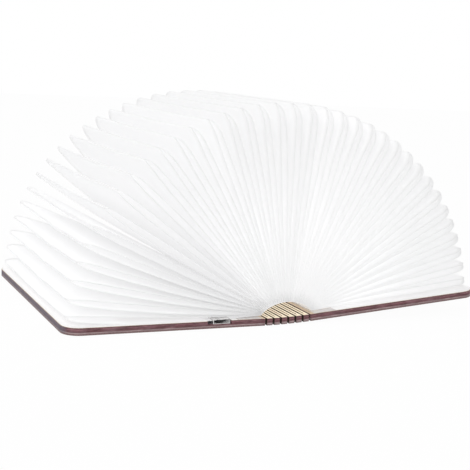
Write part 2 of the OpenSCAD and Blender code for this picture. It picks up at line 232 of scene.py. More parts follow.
def wood_figure_group():
    """Growth rings that run along Y, with long pores between them."""
    tree, has, out = new_group("wood_figure", [
        ("Vector", "NodeSocketVector", None), ("Early", "NodeSocketColor", (0.6, 0.45, 0.28, 1)),
        ("Late", "NodeSocketColor", (0.4, 0.28, 0.16, 1)), ("Ring", "NodeSocketFloat", 260.0),
        ("Pores", "NodeSocketFloat", 0.5)], [("Color", "NodeSocketColor"), ("Height", "NodeSocketFloat")])
    slow = speckle(tree, stretched(tree, has["Vector"], (1, 0.22, 1)), 38.0, 2.0)
    aside = place_node(tree, "ShaderNodeCombineXYZ", {"X": reckon(tree, "MULTIPLY", slow, 0.016)})
    bent = place_node(tree, "ShaderNodeVectorMath", {0: has["Vector"], 1: aside.outputs[0]}, operation="ADD")
    rings = speckle(tree, stretched(tree, bent.outputs[0], (1, 0.035, 0.6)), has["Ring"], 5.0, 0.62)
    pores = speckle(tree, stretched(tree, has["Vector"], (1, 0.03, 1)), 3400.0, 2.0)
    pores = reckon(tree, "MULTIPLY", ramp(tree, pores, 0.6, 0.7), has["Pores"])
    share = ramp(tree, rings, 0.36, 0.66)
    wood = mixed(tree, share, has["Early"], has["Late"])
    tree.links.new(mixed(tree, pores, wood, (0.45, 0.38, 0.33), "MULTIPLY"), out["Color"])
    tree.links.new(reckon(tree, "SUBTRACT", share, reckon(tree, "MULTIPLY", pores, 1.6)), out["Height"])
    return tree


wood_figure = wood_figure_group()


def board_faces_group():
    """A laser cut board: bare wood inside, stained outside, browned plies round its edge."""
    tree, has, out = new_group("board_faces", [
        ("Vector", "NodeSocketVector", None), ("Bare", "NodeSocketColor", (*BARE_WOOD, 1)),
        ("Stain", "NodeSocketColor", (*STAIN, 1)), ("Char", "NodeSocketFloat", 0.3),
        ("Slit", "NodeSocketFloat", 0.0)],
        [("Color", "NodeSocketColor"), ("Height", "NodeSocketFloat"), ("Roughness", "NodeSocketFloat")])
    across, along, depth = (coordinate(tree, has["Vector"], way) for way in "XYZ")
    late = mixed(tree, 0.42, has["Bare"], (0.26, 0.15, 0.08))
    bare = place_node(tree, "ShaderNodeGroup", {"Vector": has["Vector"], "Early": has["Bare"], "Late": late},
                      node_tree=wood_figure)
    stain = place_node(tree, "ShaderNodeGroup", {"Vector": has["Vector"], "Early": has["Stain"],
                                                 "Late": (0.085, 0.035, 0.03, 1), "Pores": 0.9},
                       node_tree=wood_figure)
    # The plies show on the edge as bands, with a pale glue line over the face veneer
    streaks = speckle(tree, stretched(tree, has["Vector"], (0.1, 0.1, 1)), 2600.0, 4.0, 0.65)
    soft = speckle(tree, has["Vector"], 160.0, 3.0)
    band = place_node(tree, "ShaderNodeTexWave", {"Vector": has["Vector"], "Scale": 205.0, "Distortion": 0.7,
                                                 "Detail": 2.0, "Detail Scale": 1.4},
                      bands_direction="Z", wave_profile="SIN").outputs["Fac"]
    edge = mixed(tree, ramp(tree, band, 0.55, 0.95), (0.21, 0.086, 0.098), (0.31, 0.145, 0.165))
    edge = mixed(tree, ramp(tree, streaks, 0.35, 0.75), edge, (0.10, 0.042, 0.046))
    edge = mixed(tree, ramp(tree, soft, 0.4, 0.8, 0.0, 0.55), edge, (0.40, 0.25, 0.28))
    near_skin = ramp(tree, depth, SKIN + 3.6e-4, SKIN + 5e-4, 1.0, 0.0)
    glue = reckon(tree, "MULTIPLY", near_skin, ramp(tree, streaks, 0.25, 0.55, 1.0, 0.55))
    edge = mixed(tree, reckon(tree, "MULTIPLY", glue, 0.92), edge, (0.60, 0.49, 0.49))
    char = reckon(tree, "MULTIPLY", ramp(tree, streaks, 0.3, 0.6), has["Char"])
    edge = mixed(tree, char, edge, (0.02, 0.012, 0.01))
    # The fore edge is painted greyer than the ends: a painted sheen of the room's light on it
    off_spine = reckon(tree, "ABSOLUTE", across)
    fore = ramp(tree, off_spine, COVER_WIDTH - 0.002, COVER_WIDTH - 0.0003, 0.0, 0.65)
    edge = mixed(tree, fore, edge, (0.125, 0.125, 0.16))
    inside = face_at(tree, depth, BOARD)
    outside = ramp(tree, depth, 2e-5, 4e-5, 1.0, 0.0)
    rim = ramp(tree, reckon(tree, "SUBTRACT", BOARD, depth), 0.0, 2.2e-4, 0.35, 0.0)
    # A blind slit runs down the middle of each slat's inner face, between short bridges
    off_middle = reckon(tree, "ABSOLUTE", reckon(tree, "SUBTRACT", across, PITCH / 2))
    bridge = reckon(tree, "PINGPONG", reckon(tree, "ADD", along, 4 * BRIDGES), BRIDGES)
    line = ramp(tree, off_middle, 1.5e-4, 3e-4, 1.0, 0.0)
    slit = reckon(tree, "MULTIPLY", line, ramp(tree, bridge, 0.0009, 0.0012))
    off_centre = reckon(tree, "ABSOLUTE", along)
    short = ramp(tree, off_centre, HALF_HEIGHT - 0.0025, HALF_HEIGHT - 0.0023, 1.0, 0.0)
    slit = reckon(tree, "MULTIPLY", reckon(tree, "MULTIPLY", slit, short), has["Slit"])
    face = mixed(tree, slit, bare.outputs["Color"], (0.05, 0.028, 0.018))
    colour = mixed(tree, outside, mixed(tree, inside, edge, face), stain.outputs["Color"])
    tree.links.new(colour, out["Color"])
    broad = reckon(tree, "ADD", inside, outside)
    tree.links.new(mixed(tree, broad, streaks, bare.outputs["Height"]), out["Height"])
    tree.links.new(reckon(tree, "SUBTRACT", 0.62, reckon(tree, "MULTIPLY", rim, 0.2)), out["Roughness"])
    return tree


board_faces = board_faces_group()


def new_material(name, **sockets):
    """A material with its Principled shader, whose plain values go on the shader's sockets."""
    made = bpy.data.materials.new(name)
    made.use_nodes = True
    tree = made.node_tree
    tree.nodes.clear()
    plain = {label.replace("_", " "): value for label, value in sockets.items()}
    shader = place_node(tree, "ShaderNodeBsdfPrincipled", plain)
    place_node(tree, "ShaderNodeOutputMaterial", {"Surface": shader.outputs[0]})
    return made, tree, shader


def painted(tree, shader, colour, roughness):
    tree.links.new(colour, shader.inputs["Base Color"])
    tree.links.new(roughness, shader.inputs["Roughness"])


def bumped(tree, shader, height, strength, depth):
    bump = place_node(tree, "ShaderNodeBump", {"Height": height, "Strength": strength, "Distance": depth})
    tree.links.new(bump.outputs[0], shader.inputs["Normal"])


joints = frame["record"]["behaviour"]["joints"]
kerf_at = {joint["name"]: Vector(joint["pos_m"]) for joint in joints if joint["name"].startswith("kerf")}
# At rest the seven kerfs together tilt the right cover up by this much
LIFT = math.radians(4.9)


def board_lie(j):
    """Where board j lies at rest: a point on its middle line and its tilt. 0 is the left cover."""
    if j == 0:
        return kerf_at["kerf_1"], 0.0
    return kerf_at[f"kerf_{j}"], LIFT * j / 7


def board_view(tree, j):
    """Object coordinates as board j has them lying flat, its outer face at zero."""
    point, tilt = board_lie(j)
    turn = Matrix.Rotation(tilt, 3, "Y")
    shift = Vector((0, 0, BOARD / 2)) - turn @ Vector((point.x, 0, point.z))
    flat = place_node(tree, "ShaderNodeMapping", {"Vector": own_place(tree), "Location": shift,
                                                  "Rotation": (0, tilt, 0)})
    return flat.outputs[0]


def board_wood(name, j):
    made, tree, shader = new_material(name, Specular_IOR_Level=0.35, Emission_Strength=0.33)
    flat = board_view(tree, j)
    faces = place_node(tree, "ShaderNodeGroup", {"Vector": flat, "Bare": (*BARE_WOOD, 1),
                                                 "Stain": (*STAIN, 1), "Char": 0.25}, node_tree=board_faces)
    painted(tree, shader, faces.outputs["Color"], faces.outputs["Roughness"])
    # Painted light: the inner face beside the cuts glows, standing in for the lamps' own light falling on it
    from_middle = reckon(tree, "ABSOLUTE", coordinate(tree, own_place(tree), "X"))
    beside = ramp(tree, from_middle, PAINTED_LIGHT_TO, PAINTED_LIGHT_TO + 4e-4, 1.0, 0.0)
    painted_lamp_light = reckon(tree, "MULTIPLY", beside, face_at(tree, coordinate(tree, flat, "Z"), BOARD))
    tree.links.new(mixed(tree, painted_lamp_light, BLACK, faces.outputs["Color"]), shader.inputs["Emission Color"])
    bumped(tree, shader, faces.outputs["Height"], 0.35, 4e-5)
    return made


def finish_node(node, material):
    """Gives a CAD node its material."""
    mesh = frame["nodes"][node].data
    mesh.materials.clear()
    mesh.materials.append(material)


finish_node("left_cover", board_wood("left_board", 0))
finish_node("right_cover", board_wood("right_board", 7))


# ---- The face veneers
# A thin walnut sheet covers the whole outside of each cover and closes the pocket of the
# left one. It is oiled, so its grain is deeper and its sheen softer than the core's.

def veneer_wood(name, j):
    made, tree, shader = new_material(name, Specular_IOR_Level=0.4, Coat_Weight=0.12, Coat_Roughness=0.35)
    flat = board_view(tree, j)
    walnut = {"Vector": flat, "Early": (0.19, 0.088, 0.066, 1), "Late": (0.07, 0.03, 0.024, 1),
              "Ring": 190.0, "Pores": 0.95}
    grain = place_node(tree, "ShaderNodeGroup", walnut, node_tree=wood_figure)
    cut = ramp(tree, coordinate(tree, flat, "Z"), 2e-5, 4e-5)
    burn = speckle(tree, stretched(tree, flat, (1, 1, 0.2)), 1400.0, 3.0)
    browned = mixed(tree, ramp(tree, burn, 0.35, 0.75), (0.25, 0.158, 0.155), (0.14, 0.086, 0.086))
    painted(tree, shader, mixed(tree, cut, grain.outputs["Color"], browned),
            ramp(tree, grain.outputs["Height"], -0.5, 1.0, 0.6, 0.42))
    bumped(tree, shader, grain.outputs["Height"], 0.5, 5e-5)
    return made


finish_node("left_skin", veneer_wood("left_veneer", 0))
finish_node("right_skin", veneer_wood("right_veneer", 7))


# ---- The spine slats
# Seven rows of fine cuts run the height of the boards and leave six slats between them,
# held by short twisting links. The beam has charred the cut walls almost black, and the
# slats' inner faces are the bare light wood that shows in the arch under the folds.

KERF = 0.0009


def slat_wood(j):
    made, tree, shader = new_material(f"slat_wood_{j}", Specular_IOR_Level=0.3, Emission_Strength=0.6)
    flat = board_view(tree, j)
    # Their bare wood is painted paler than the covers', standing in for the lamps' light in the arch. No two
    # neighbours are quite the same shade
    bare = (0.93 - 0.012 * (j % 3), 0.85 - 0.015 * (j % 2), 0.66, 1)
    faces = place_node(tree, "ShaderNodeGroup", {"Vector": flat, "Bare": bare, "Stain": (*STAIN, 1),
                                                 "Char": 0.35, "Slit": 1.0}, node_tree=board_faces)
    off_middle = reckon(tree, "ABSOLUTE", reckon(tree, "SUBTRACT", coordinate(tree, flat, "X"), PITCH / 2))
    wall = face_at(tree, off_middle, (PITCH - KERF) / 2)
    soot = speckle(tree, stretched(tree, flat, (1, 1, 0.2)), 1300.0, 3.0)
    char = mixed(tree, ramp(tree, soot, 0.3, 0.75), (0.03, 0.017, 0.013), (0.09, 0.05, 0.03))
    painted(tree, shader, mixed(tree, wall, faces.outputs["Color"], char), faces.outputs["Roughness"])
    # Painted light: the inner faces under the folds glow, standing in for the lamps' own light falling on
    # them
    top = face_at(tree, coordinate(tree, flat, "Z"), BOARD)
    tree.links.new(mixed(tree, top, BLACK, faces.outputs["Color"]), shader.inputs["Emission Color"])
    bumped(tree, shader, faces.outputs["Height"], 0.35, 4e-5)
    return made


for j in range(1, 7):
    finish_node(f"spine_slat_{j}", slat_wood(j))


# ---- The end leaves
# The first and last leaves of the paper strip are glued down over the covers' inner
# faces and cut to the covers' outline. It is a tough white paper with a soft mottle.

# A leaf ends this far inside the cover's edge, round a corner of this radius
LEAF_EDGE = 0.0003
LEAF_R = 0.0067
# It starts this far out from the last kerf, is straight as far as here, and is this thick
LEAF_START = 0.0129
STRAIGHT_TO = 0.0755
LEAF = 0.00015
# Paper and tape lie this far off the board, so no two faces coincide
CLEAR = 2e-6


def paper_fibre_group():
    """Mottled, slightly cockled paper with short fibres."""
    tree, has, out = new_group("paper_fibre", [
        ("Vector", "NodeSocketVector", None), ("Sheet", "NodeSocketColor", (0.93, 0.93, 0.92, 1)),
        ("Cloud", "NodeSocketFloat", 0.05)],
        [("Color", "NodeSocketColor"), ("Height", "NodeSocketFloat"), ("Roughness", "NodeSocketFloat")])
    cloud = speckle(tree, has["Vector"], 420.0, 5.0, 0.65)
    fibre = speckle(tree, stretched(tree, has["Vector"], (1, 0.25, 1)), 5200.0, 3.0, 0.6, 0.6)
    mottle = reckon(tree, "MULTIPLY", ramp(tree, cloud, 0.35, 0.75), has["Cloud"])
    tree.links.new(mixed(tree, mottle, has["Sheet"], (0.60, 0.60, 0.60)), out["Color"])
    broad = reckon(tree, "MULTIPLY", cloud, 0.7)
    tree.links.new(reckon(tree, "ADD", broad, reckon(tree, "MULTIPLY", fibre, 0.3)), out["Height"])
    tree.links.new(ramp(tree, fibre, 0.2, 0.8, 0.72, 0.88), out["Roughness"])
    return tree


paper_fibre = paper_fibre_group()


def paper_sheet(name, sheet, cloud, through, painted_glow_near, painted_glow_far):
    """White paper that lets light through softly, with a painted glow standing in for the lamps' own light.

    painted_glow_near and painted_glow_far say how bright the painted glow is close to the spine and out at
    the fore edge.
    """
    most = max(painted_glow_near, painted_glow_far)
    made, tree, shader = new_material(name, Specular_IOR_Level=0.25, Emission_Strength=most)
    where = own_place(tree)
    paper = place_node(tree, "ShaderNodeGroup", {"Vector": where, "Sheet": (*sheet, 1), "Cloud": cloud},
                       node_tree=paper_fibre)
    painted(tree, shader, paper.outputs["Color"], paper.outputs["Roughness"])
    bumped(tree, shader, paper.outputs["Height"], 0.25, 3e-5)
    squares = []
    for way in "XZ":
        part = coordinate(tree, where, way)
        squares.append(reckon(tree, "MULTIPLY", part, part))
    off_spine = reckon(tree, "SQRT", reckon(tree, "ADD", *squares))
    fade = ramp(tree, off_spine, 0.02, 0.085, 1 - painted_glow_near / most, 1 - painted_glow_far / most)
    tree.links.new(mixed(tree, fade, paper.outputs["Color"], BLACK), shader.inputs["Emission Color"])
    if through:
        glow = place_node(tree, "ShaderNodeBsdfTranslucent", {"Color": (*sheet, 1)})
        both = place_node(tree, "ShaderNodeMixShader", {0: through, 1: shader.outputs[0], 2: glow.outputs[0]})
        tree.links.new(both.outputs[0], tree.nodes["Material Output"].inputs["Surface"])
    return made


def to_row(j):
    """Carries places on board j as it lies flat into the frame the row stands in."""
    point, tilt = board_lie(j)
    turn = Matrix.Rotation(tilt, 4, "Y").inverted()
    return Matrix.Translation(point) @ turn @ Matrix.Translation((0, 0, -BOARD / 2))


def lay_sheet(name, j, xs, ys, height, gone, material):
    """A closed thin sheet over board j: height gives its lower and upper face, gone its cut-outs."""
    verts, faces = [], []
    rows, columns = len(ys), len(xs)
    for level in (0, 1):
        for y in ys:
            for x in xs:
                px = x(y) if callable(x) else x
                verts.append((px, y, height(px, y)[level]))
    under = rows * columns
    kept = [(r, c) for r in range(rows - 1) for c in range(columns - 1) if not gone(r, c)]
    stays = set(kept)

    def at(r, c, level):
        return level * under + r * columns + c

    for r, c in kept:
        faces.append((at(r, c, 1), at(r, c + 1, 1), at(r + 1, c + 1, 1), at(r + 1, c, 1)))
        faces.append((at(r, c, 0), at(r + 1, c, 0), at(r + 1, c + 1, 0), at(r, c + 1, 0)))
        for (near, a, b) in (((r - 1, c), (r, c), (r, c + 1)), ((r + 1, c), (r + 1, c + 1), (r + 1, c)),
                             ((r, c - 1), (r + 1, c), (r, c)), ((r, c + 1), (r, c + 1), (r + 1, c + 1))):
            if near not in stays:
                faces.append((at(*a, 0), at(*b, 0), at(*b, 1), at(*a, 1)))
    mesh = bpy.data.meshes.new(name)
    mesh.from_pydata(verts, [], faces)
    mesh.transform(to_row(j))
    work = bmesh.new()
    work.from_mesh(mesh)
    bmesh.ops.delete(work, geom=[v for v in work.verts if not v.link_faces], context="VERTS")
    bmesh.ops.recalc_face_normals(work, faces=work.faces)
    work.to_mesh(mesh)
    work.free()
    mesh.materials.append(material)
    made = bpy.data.objects.new(name, mesh)
    bpy.context.scene.collection.objects.link(made)
    return made


leaf_fore = COVER_WIDTH - LEAF_EDGE
leaf_top = HALF_HEIGHT - LEAF_EDGE


def leaf_reach(y):
    """How far out a leaf goes at that height, round its corners."""
    past = max(0.0, abs(y) - (leaf_top - LEAF_R))
    return leaf_fore - (LEAF_R - math.sqrt(max(0.0, LEAF_R ** 2 - past ** 2)))


# The end leaves carry a faint, even painted glow
glued_sheet = paper_sheet("glued_sheet", (0.93, 0.925, 0.925), 0.06, 0.0, 0.13, 0.13)
# The left leaf is cut out over the charging socket, further on the socket's left
usb_low, usb_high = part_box("usb_shell")
cut_from = usb_low[0] - 0.0026
cut_to = usb_high[0] + 0.0007
notch_x = sorted(abs(v - board_lie(0)[0].x) for v in (cut_from, cut_to))
notch_y = usb_high[1] + 0.0008
for side, j, node in ((-1, 0, "left_end_leaf"), (1, 7, "right_end_leaf")):
    label = "left" if side < 0 else "right"
    steps = [LEAF_START] + notch_x + [0.028 + 0.0008 * k for k in range(1, 60)]
    xs = [side * t for t in steps if t < STRAIGHT_TO]
    for k in range(1, 9):
        xs.append(lambda y, t=k / 8, side=side: side * (STRAIGHT_TO + (leaf_reach(y) - STRAIGHT_TO) * t))
    corner = [leaf_top - LEAF_R * (1 - math.sin(math.pi / 2 * k / 7)) for k in range(8)]
    ys = [-v for v in reversed(corner)] + [notch_y] + [-0.05 + 0.0025 * k for k in range(41)] + corner

    def lie(x, y, side=side):
        """Lower and upper face. The upper one is cockled, but not close to the leaf's two edges."""
        cockle = 4e-5 * (1 + math.sin(x * 210 + side) * math.sin(y * 170 + 0.7))
        free = min(1.0, max(0.0, (abs(x) - 0.014) * 120)) * min(1.0, max(0.0, (0.084 - abs(x)) * 150))
        return BOARD + CLEAR, BOARD + LEAF + cockle * free

    def cut_out(r, c, side=side):
        return side < 0 and ys[r + 1] <= notch_y + 1e-9 and c == 1

    sheet = lay_sheet(f"glued_leaf_{label}", j, xs, ys, lie, cut_out, glued_sheet)
    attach(sheet, "left_cover" if side < 0 else "right_cover")
    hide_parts(node)


# ---- The folds
# One long strip of white paper is folded to and fro into thirty-six folds. Each is two
# leaves joined by a crease at the fore edge, with its outer corners rounded off. The
# leaves are shaped bowed apart, as when the lamp is open.

FOLDS = 36
FOLD_PAPER = 0.00014
GAPE = 0.0014
# The sheet that makes a fold has this many points round the fold and up it, and its two
# long edges are turned in at the valley by this part of a leaf
POINTS_ROUND = 55
POINTS_UP = 27
TURNED = 0.08
# How many degrees each fold leans, and how far it bows, read between these folds
LEAN_AT = (1, 2, 4, 6, 8, 10, 18.5, 26, 30, 33, 36)
LEANS = (0.5, 0.4, -0.4, -1.2, -1.8, -2.1, 0.0, 1.5, 0.9, 0.2, 0.0)
BOW_AT = (1, 2, 6, 12, 25, 31, 36)
BOWS = (0.0016, 0.0012, 0.0005, 0, 0, 0.0003, 0.0006)
SHEET = (0.93, 0.93, 0.932)
# All but the low folds have a darker paper base under a stronger painted glow, which makes their shading
# flatter
PAINTED_GLOW_SHEET = (0.86, 0.86, 0.862)


def sheet_pair(part, sheet, cloud, inside, outside):
    """The paper of one part of the fan, in two copies with different painted glow: more on a fold's inside,
    which opens to the lamps, and less on its outside.
    """
    return [paper_sheet(f"{part}_fold_inside", sheet, cloud, 0.25, *inside),
            paper_sheet(f"{part}_fold_outside", sheet, cloud, 0.25, *outside)]


# Each pair goes as far as the fold with this number. Each part has its own level of painted glow, and the low
# folds glow least on their outside, which paints shade between them
fan_parts = [(5, sheet_pair("low", SHEET, 0.035, inside=(0.215, 0.226), outside=(0.11, 0.19))),
             (9, sheet_pair("left", PAINTED_GLOW_SHEET, 0.03, inside=(0.28, 0.3), outside=(0.235, 0.275))),
             (14, sheet_pair("middle", PAINTED_GLOW_SHEET, 0.03, inside=(0.305, 0.286), outside=(0.29, 0.276))),
             (20, sheet_pair("top", PAINTED_GLOW_SHEET, 0.03, inside=(0.33, 0.265), outside=(0.32, 0.26))),
             (36, sheet_pair("right", PAINTED_GLOW_SHEET, 0.03, inside=(0.365, 0.281), outside=(0.355, 0.276)))]


def fold_tree():
    """A fold lying along X from its valley at 0 to its crease, its height along Y, open in Z."""
    tree = bpy.data.node_groups.new("paper_fold", "GeometryNodeTree")
    sockets = tree.interface
    sockets.new_socket(name="Geometry", in_out="INPUT", socket_type="NodeSocketGeometry")
    for label, value in (("Length", 0.0824), ("Height", 0.117), ("Corner", 0.009), ("Gape", 0.0013),
                         ("Bow", 0.0), ("Lean", 0.0), ("Ripple", 0.0008), ("Own ripple", 0.0001),
                         ("Seed", 0.0), ("Curl", 0.0), ("Valley above", 0.0003), ("Valley below", -0.0003)):
        made = sockets.new_socket(name=label, in_out="INPUT", socket_type="NodeSocketFloat")
        made.default_value = value
    sockets.new_socket(name="Paper", in_out="INPUT", socket_type="NodeSocketMaterial")
    sockets.new_socket(name="Geometry", in_out="OUTPUT", socket_type="NodeSocketGeometry")
    has = tree.nodes.new("NodeGroupInput").outputs

    def plus(a, b):
        return reckon(tree, "ADD", a, b)

    def minus(a, b):
        return reckon(tree, "SUBTRACT", a, b)

    def times(a, b):
        return reckon(tree, "MULTIPLY", a, b)

    grid = place_node(tree, "GeometryNodeMeshGrid", {"Size X": 2 * (1 + TURNED), "Size Y": 2.0,
                                                     "Vertices X": POINTS_ROUND, "Vertices Y": POINTS_UP})
    position = place_node(tree, "GeometryNodeInputPosition").outputs[0]
    round_the_fold = coordinate(tree, position, "X")
    up_the_fold = coordinate(tree, position, "Y")
    # The crease is at 0 round the fold, the valley at 1 either way, and past it is turned in
    side = reckon(tree, "SIGN", round_the_fold)
    off_crease = reckon(tree, "ABSOLUTE", round_the_fold)
    turned_in = reckon(tree, "DIVIDE", reckon(tree, "MAXIMUM", 0.0, minus(off_crease, 1.0)), TURNED)
    out_to = minus(1.0, reckon(tree, "POWER", reckon(tree, "MINIMUM", 1.0, off_crease), 1.7))
    outward = reckon(tree, "MAXIMUM", out_to, 0.0)
    along = times(out_to, has["Length"])
    # The outer corners are round: there the fold is less high
    past = reckon(tree, "MAXIMUM", 0.0, minus(along, minus(has["Length"], has["Corner"])))
    left = minus(times(has["Corner"], has["Corner"]), times(past, past))
    drop = minus(has["Corner"], reckon(tree, "SQRT", reckon(tree, "MAXIMUM", 0.0, left)))
    high = times(up_the_fold, minus(times(has["Height"], 0.5), drop))
    # How far each leaf stands off the middle, from the valley out to the crease
    shape = place_node(tree, "ShaderNodeFloatCurve", {"Value": out_to})
    line = shape.mapping.curves[0]
    stations = ((0.0, 0.2), (0.12, 0.33), (0.35, 0.68), (0.58, 0.94), (0.8, 1.0), (0.93, 0.86),
                (0.975, 0.62), (0.993, 0.33), (1.0, 0.0))
    while len(line.points) < len(stations):
        line.points.new(0.5, 0.5)
    for point, (x, y) in zip(line.points, stations):
        point.location = (x, y)
    shape.mapping.update()
    gape = times(times(shape.outputs[0], has["Gape"]), side)
    # At the valley a leaf meets its neighbour's, and its turned in edge closes the gap
    upper = reckon(tree, "GREATER_THAN", side, 0.0)
    valley = plus(times(upper, has["Valley above"]), times(minus(1.0, upper), has["Valley below"]))
    valley = times(valley, minus(1.0, turned_in))
    near = ramp(tree, out_to, 0.0, 0.22, 1.0, 0.0)
    gape = plus(times(valley, near), times(gape, minus(1.0, near)))
    bow = times(reckon(tree, "SINE", times(out_to, math.pi)), has["Bow"])
    curl = times(times(reckon(tree, "POWER", outward, 2.5), up_the_fold), has["Curl"])
    lean = times(along, has["Lean"])
    # Some waves run through all the folds, and each leaf has small ones of its own
    here = place_node(tree, "ShaderNodeCombineXYZ", {"X": times(along, 0.7), "Y": high, "Z": 0.0})
    common = speckle(tree, here.outputs[0], 24.0, 1.5, 0.4)
    ripple = times(times(minus(common, 0.5), 3.0), has["Ripple"])
    seed = plus(has["Seed"], times(side, 0.004))
    mine = place_node(tree, "ShaderNodeCombineXYZ", {"X": along, "Y": high, "Z": seed})
    own = speckle(tree, mine.outputs[0], 34.0, 0.4, 0.4)
    wobble = times(times(minus(own, 0.5), 3.0), has["Own ripple"])
    waves = times(plus(ripple, wobble), reckon(tree, "POWER", outward, 1.4))
    off = plus(plus(gape, bow), plus(plus(lean, curl), waves))
    lies = place_node(tree, "ShaderNodeCombineXYZ", {"X": along, "Y": high, "Z": off})
    bent = place_node(tree, "GeometryNodeSetPosition",
                      {"Geometry": grid.outputs[0], "Position": lies.outputs[0]})
    smooth = place_node(tree, "GeometryNodeSetShadeSmooth", {"Geometry": bent.outputs[0]})
    real = place_node(tree, "GeometryNodeRealizeInstances", {"Geometry": smooth.outputs[0]})
    papered = place_node(tree, "GeometryNodeSetMaterial",
                         {"Geometry": real.outputs[0], "Material": has["Paper"]})
    out = tree.nodes.new("NodeGroupOutput")
    tree.links.new(papered.outputs[0], out.inputs[0])
    return tree


fold_shape = fold_tree()
fold_sockets = [item for item in fold_shape.interface.items_tree if item.in_out == "INPUT"]
SOCKET = {item.name: item.identifier for item in fold_sockets}


def page_line(node):
    """Inner end, direction and length of a CAD fold, which is a thin straight wedge."""
    mesh = frame["nodes"][node].data
    points = np.array([(v.co.x, v.co.z) for v in mesh.vertices])
    middle = points.mean(axis=0)
    way = np.linalg.svd(points - middle, full_matrices=False)[2][0]
    ends = (points - middle) @ way
    if np.hypot(*(middle + way * ends.min())) > np.hypot(*(middle + way * ends.max())):
        way = -way
        ends = (points - middle) @ way
    start = middle + way * ends.min()
    return start, way, float(ends.max() - ends.min())


def fold_mesh(name, sheets, **sizes):
    """Runs the fold's tree with these sizes and returns its paper as a plain mesh."""
    blank = bpy.data.objects.new(name, bpy.data.meshes.new(name))
    bpy.context.scene.collection.objects.link(blank)
    shaper = blank.modifiers.new("shape", "NODES")
    shaper.node_group = fold_shape
    for label, value in sizes.items():
        shaper[SOCKET[label.replace("_", " ")]] = value
    wall = blank.modifiers.new("paper", "SOLIDIFY")
    wall.thickness = FOLD_PAPER
    wall.offset = 0
    view = bpy.context.evaluated_depsgraph_get()
    mesh = bpy.data.meshes.new_from_object(blank.evaluated_get(view))
    blank.modifiers.clear()
    blank.data = mesh
    mesh.name = name
    # The faces turned to the lamps come first, and those turned to the room after them.
    # Close to the valley they all count as inside
    for slot, sheet in enumerate(sheets):
        if slot == len(mesh.materials):
            mesh.materials.append(None)
        mesh.materials[slot] = sheet
    faces_a_side = (POINTS_ROUND - 1) * (POINTS_UP - 1)
    for face in mesh.polygons:
        face.material_index = 1 if face.index >= faces_a_side and face.center.x > 0.0012 else 0
    return blank


bodies = frame["record"]["behaviour"]["bodies"]
body_of_node = {node: body for body, nodes in bodies.items() for node in nodes}
chance = np.random.default_rng(7)
lines = [page_line(f"page_{m:02d}") for m in range(1, FOLDS + 1)]
for m in range(1, FOLDS + 1):
    node = f"page_{m:02d}"
    start, way, length = lines[m - 1]
    normal = (-way[1], way[0])
    # Its valleys lie halfway to its neighbours
    beside = [lines[k - 1][0] for k in (m - 1, m + 1) if 1 <= k <= FOLDS]
    apart = [0.5 * float(np.dot(other - start, normal)) for other in beside]
    above = max([a for a in apart if a > 0] or [0.0003])
    below = min([a for a in apart if a < 0] or [-0.0003])
    lean = math.tan(math.radians(np.interp(m, LEAN_AT, LEANS)))
    bow = float(np.interp(m, BOW_AT, BOWS))
    corner = float(np.interp(m, (8, 22), (0.0045, 0.0088)))
    gape = GAPE * float(chance.uniform(0.95, 1.03))
    curl = float(chance.uniform(-0.0002, 0.0002))
    sheets = next(pair for last, pair in fan_parts if m <= last)
    fold = fold_mesh(f"fold_{m:02d}", sheets, Length=length - 0.0001, Corner=corner, Lean=lean, Bow=bow,
                     Gape=gape, Seed=float(m) * 0.37, Curl=curl, Valley_above=above, Valley_below=below,
                     Paper=sheets[0])
    stand = Matrix(((way[0], 0, normal[0], start[0]), (0, 1, 0, 0),
                    (way[1], 0, normal[1], start[1]), (0, 0, 0, 1)))
    fold.data.transform(stand)
    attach(fold, body_of_node[node])
    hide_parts(node)
    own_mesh(fold)


# ---- The light strips
# A white flexible circuit strip is stuck along each side of the spine, between the cuts
# and the end leaf, with thirteen small lamps in white housings filled with phosphor.

STRIP = 0.0003
# How far out from the last kerf each line of its points lies, and how far up: its rim is lower
STRIP_OUT = (0.0022, 0.0024, 0.0125, 0.0127)
STRIP_ALONG = (-0.0597, -0.0595, 0.0595, 0.0597)


def strip_face(name):
    made, tree, shader = new_material(name, Specular_IOR_Level=0.45)
    where = own_place(tree)
    # The pad under each lamp shows through the mask
    beat = reckon(tree, "PINGPONG", reckon(tree, "ADD", coordinate(tree, where, "Y"), 0.09), 0.0045)
    pad = ramp(tree, beat, 0.0017, 0.0019, 1.0, 0.0)
    ink = speckle(tree, where, 700.0, 4.0)
    white = mixed(tree, ramp(tree, ink, 0.3, 0.8), (0.83, 0.80, 0.785), (0.74, 0.70, 0.69))
    padded = mixed(tree, reckon(tree, "MULTIPLY", pad, 0.25), white, (0.72, 0.62, 0.42))
    painted(tree, shader, padded, ramp(tree, ink, 0.3, 0.8, 0.35, 0.55))
    bumped(tree, shader, reckon(tree, "ADD", ink, reckon(tree, "MULTIPLY", pad, 0.6)), 0.3, 2e-5)
    return made


def tape(x, y):
    """Lower and upper face of a strip."""
    rim = abs(x) in (STRIP_OUT[0], STRIP_OUT[-1]) or abs(y) == STRIP_ALONG[-1]
    return BOARD + CLEAR, BOARD + STRIP * (0.8 if rim else 1)


strip_white = strip_face("strip_mask")
for side, j, node in ((-1, 0, "led_strip_left"), (1, 7, "led_strip_right")):
    label = "left" if side < 0 else "right"
    xs = [side * t for t in STRIP_OUT]
    strip = lay_sheet(f"light_strip_{label}", j, xs, STRIP_ALONG, tape, lambda r, c: False, strip_white)
    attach(strip, "left_cover" if side < 0 else "right_cover")
    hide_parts(node)


LED_H = 0.0007


